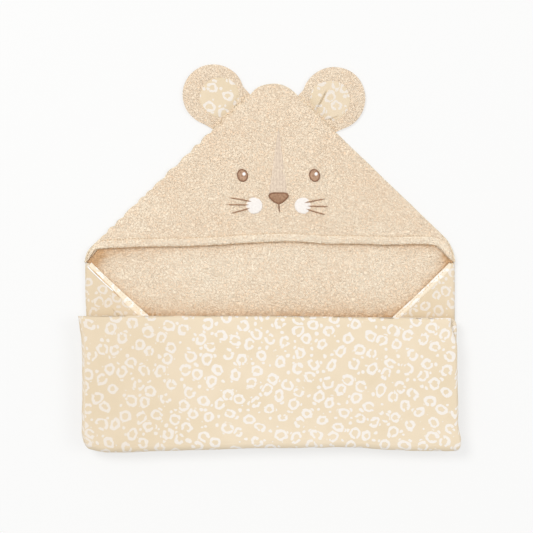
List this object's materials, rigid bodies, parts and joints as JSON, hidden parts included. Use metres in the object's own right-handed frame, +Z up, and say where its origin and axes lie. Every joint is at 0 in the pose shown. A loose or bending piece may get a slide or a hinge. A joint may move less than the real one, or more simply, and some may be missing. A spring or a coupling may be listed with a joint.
{
  "type": "hooded baby towel",
  "caption": "Square terry towel with a corner hood shaped as an animal face with padded ears, its sides folded in and its lower part folded up in layers; hood, ears and layers fold and unfold.",
  "frame": {"origin": "centre of the bounding box, on the table the folded towel lies on", "axes": "+Z up out of the face, +Y towards the hood's tip, +X to the viewer's right when looking at the face with the hood up"},
  "size_m": [0.403, 0.4161, 0.0297],
  "materials": {
    "terry": "matte",
    "terry_inner": "matte",
    "lining": "matte",
    "hem": "matte",
    "printed_cotton": "matte",
    "binding": "matte",
    "bridge": "matte",
    "brown_thread": "matte",
    "white_thread": "matte",
    "stitching": "matte"
  },
  "bodies": {
    "towel_back": {"back_print": "printed_cotton", "back_terry": "terry_inner", "left_side_fold": "printed_cotton", "right_side_fold": "printed_cotton", "left_flap_terry": "terry_inner", "left_flap_print": "printed_cotton", "left_flap_edge": "binding", "right_flap_terry": "terry_inner", "right_flap_print": "printed_cotton", "right_flap_edge": "binding", "fold_1_wrap": "printed_cotton"},
    "hood": {"hood_back_print": "printed_cotton", "hood_back_terry": "terry_inner", "hood_seam": "terry", "hood_front_lining": "lining", "hood_front_terry": "terry", "hood_hem": "hem", "hem_topstitch": "stitching", "nose_bridge": "bridge", "nose": "brown_thread", "mouth_stitch": "brown_thread", "left_eye": "brown_thread", "left_eye_glint": "white_thread", "left_cheek": "white_thread", "left_whisker_1": "brown_thread", "left_whisker_2": "brown_thread", "left_whisker_3": "brown_thread", "right_eye": "brown_thread", "right_eye_glint": "white_thread", "right_cheek": "white_thread", "right_whisker_1": "brown_thread", "right_whisker_2": "brown_thread", "right_whisker_3": "brown_thread"},
    "left_ear": {"left_ear_back": "terry", "left_ear_front": "terry", "left_ear_patch": "printed_cotton"},
    "right_ear": {"right_ear_back": "terry", "right_ear_front": "terry", "right_ear_patch": "printed_cotton"},
    "panel_1": {"panel_1_core": "terry_inner", "panel_1_print": "printed_cotton", "fold_2_wrap": "printed_cotton"},
    "panel_2": {"panel_2_core": "terry_inner", "panel_2_print": "printed_cotton", "fold_3_wrap": "printed_cotton"},
    "panel_3": {"panel_3_core": "terry_inner", "panel_3_print": "printed_cotton"}
  },
  "joints": [
    {"name": "unfold_1", "type": "hinge", "parent": "towel_back", "child": "panel_1", "pos_m": [0, -0.20065, 0.00735], "axis": [1, 0, 0], "range_deg": [0, 180], "deforming": ["fold_1_wrap"]},
    {"name": "unfold_2", "type": "hinge", "parent": "panel_1", "child": "panel_2", "pos_m": [0, -0.07035, 0.01485], "axis": [1, 0, 0], "range_deg": [-180, 0], "deforming": ["fold_2_wrap"]},
    {"name": "unfold_3", "type": "hinge", "parent": "panel_2", "child": "panel_3", "pos_m": [0, -0.20065, 0.02235], "axis": [1, 0, 0], "range_deg": [0, 180], "deforming": ["fold_3_wrap"]},
    {"name": "hood_fold", "type": "hinge", "parent": "towel_back", "child": "hood", "pos_m": [0, -0.0055, 0.0075], "axis": [1, 0, 0], "range_deg": [0, 120]},
    {"name": "left_ear_flop", "type": "hinge", "parent": "hood", "child": "left_ear", "pos_m": [-0.04288, 0.15602, 0.0082], "axis": [0.7199, 0.694, 0], "range_deg": [0, 150]},
    {"name": "right_ear_flop", "type": "hinge", "parent": "hood", "child": "right_ear", "pos_m": [0.05228, 0.15505, 0.0082], "axis": [0.7199, -0.694, 0], "range_deg": [0, 150]}
  ],
  "couplings": [
    {"joint": "unfold_2", "follows": "unfold_1", "ratio": -1},
    {"joint": "unfold_3", "follows": "unfold_1", "ratio": 1}
  ]
}
